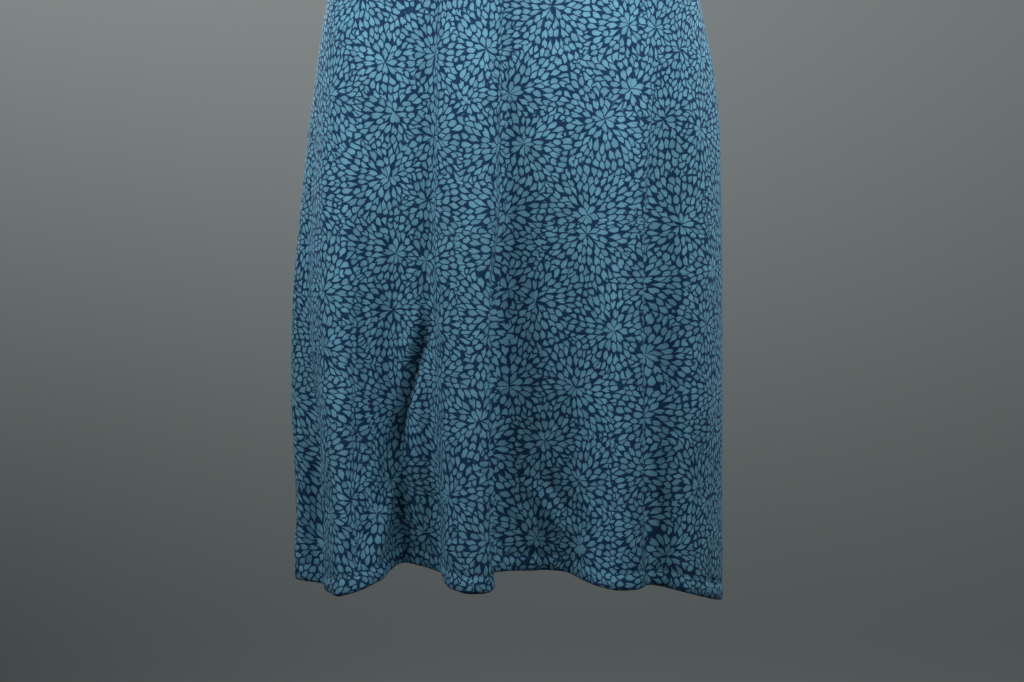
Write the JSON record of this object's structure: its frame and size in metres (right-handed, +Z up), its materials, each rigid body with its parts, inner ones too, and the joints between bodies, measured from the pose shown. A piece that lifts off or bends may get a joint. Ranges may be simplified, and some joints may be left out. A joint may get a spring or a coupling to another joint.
{
  "type": "tank dress",
  "caption": "Sleeveless knee-length tank dress in soft printed jersey, scoop neck, bound armholes and a flared skirt in deep soft folds, open and hollow as worn.",
  "frame": {"origin": "between the shoulders, at the height of the shoulder seams beside the neck", "axes": "+Z up along the dress, -Y towards the front, +X towards the viewer's right when the front is seen"},
  "size_m": [0.4088, 0.2621, 1.023],
  "materials": {
    "printed_jersey": "soft matte viscose jersey, teal petals on a navy ground",
    "binding_jersey": "the same jersey, folded double"
  },
  "bodies": {
    "root": {"front_panel": "printed_jersey", "back_panel": "printed_jersey", "neck_binding": "binding_jersey", "armhole_binding_left": "binding_jersey", "armhole_binding_right": "binding_jersey"}
  },
  "joints": []
}
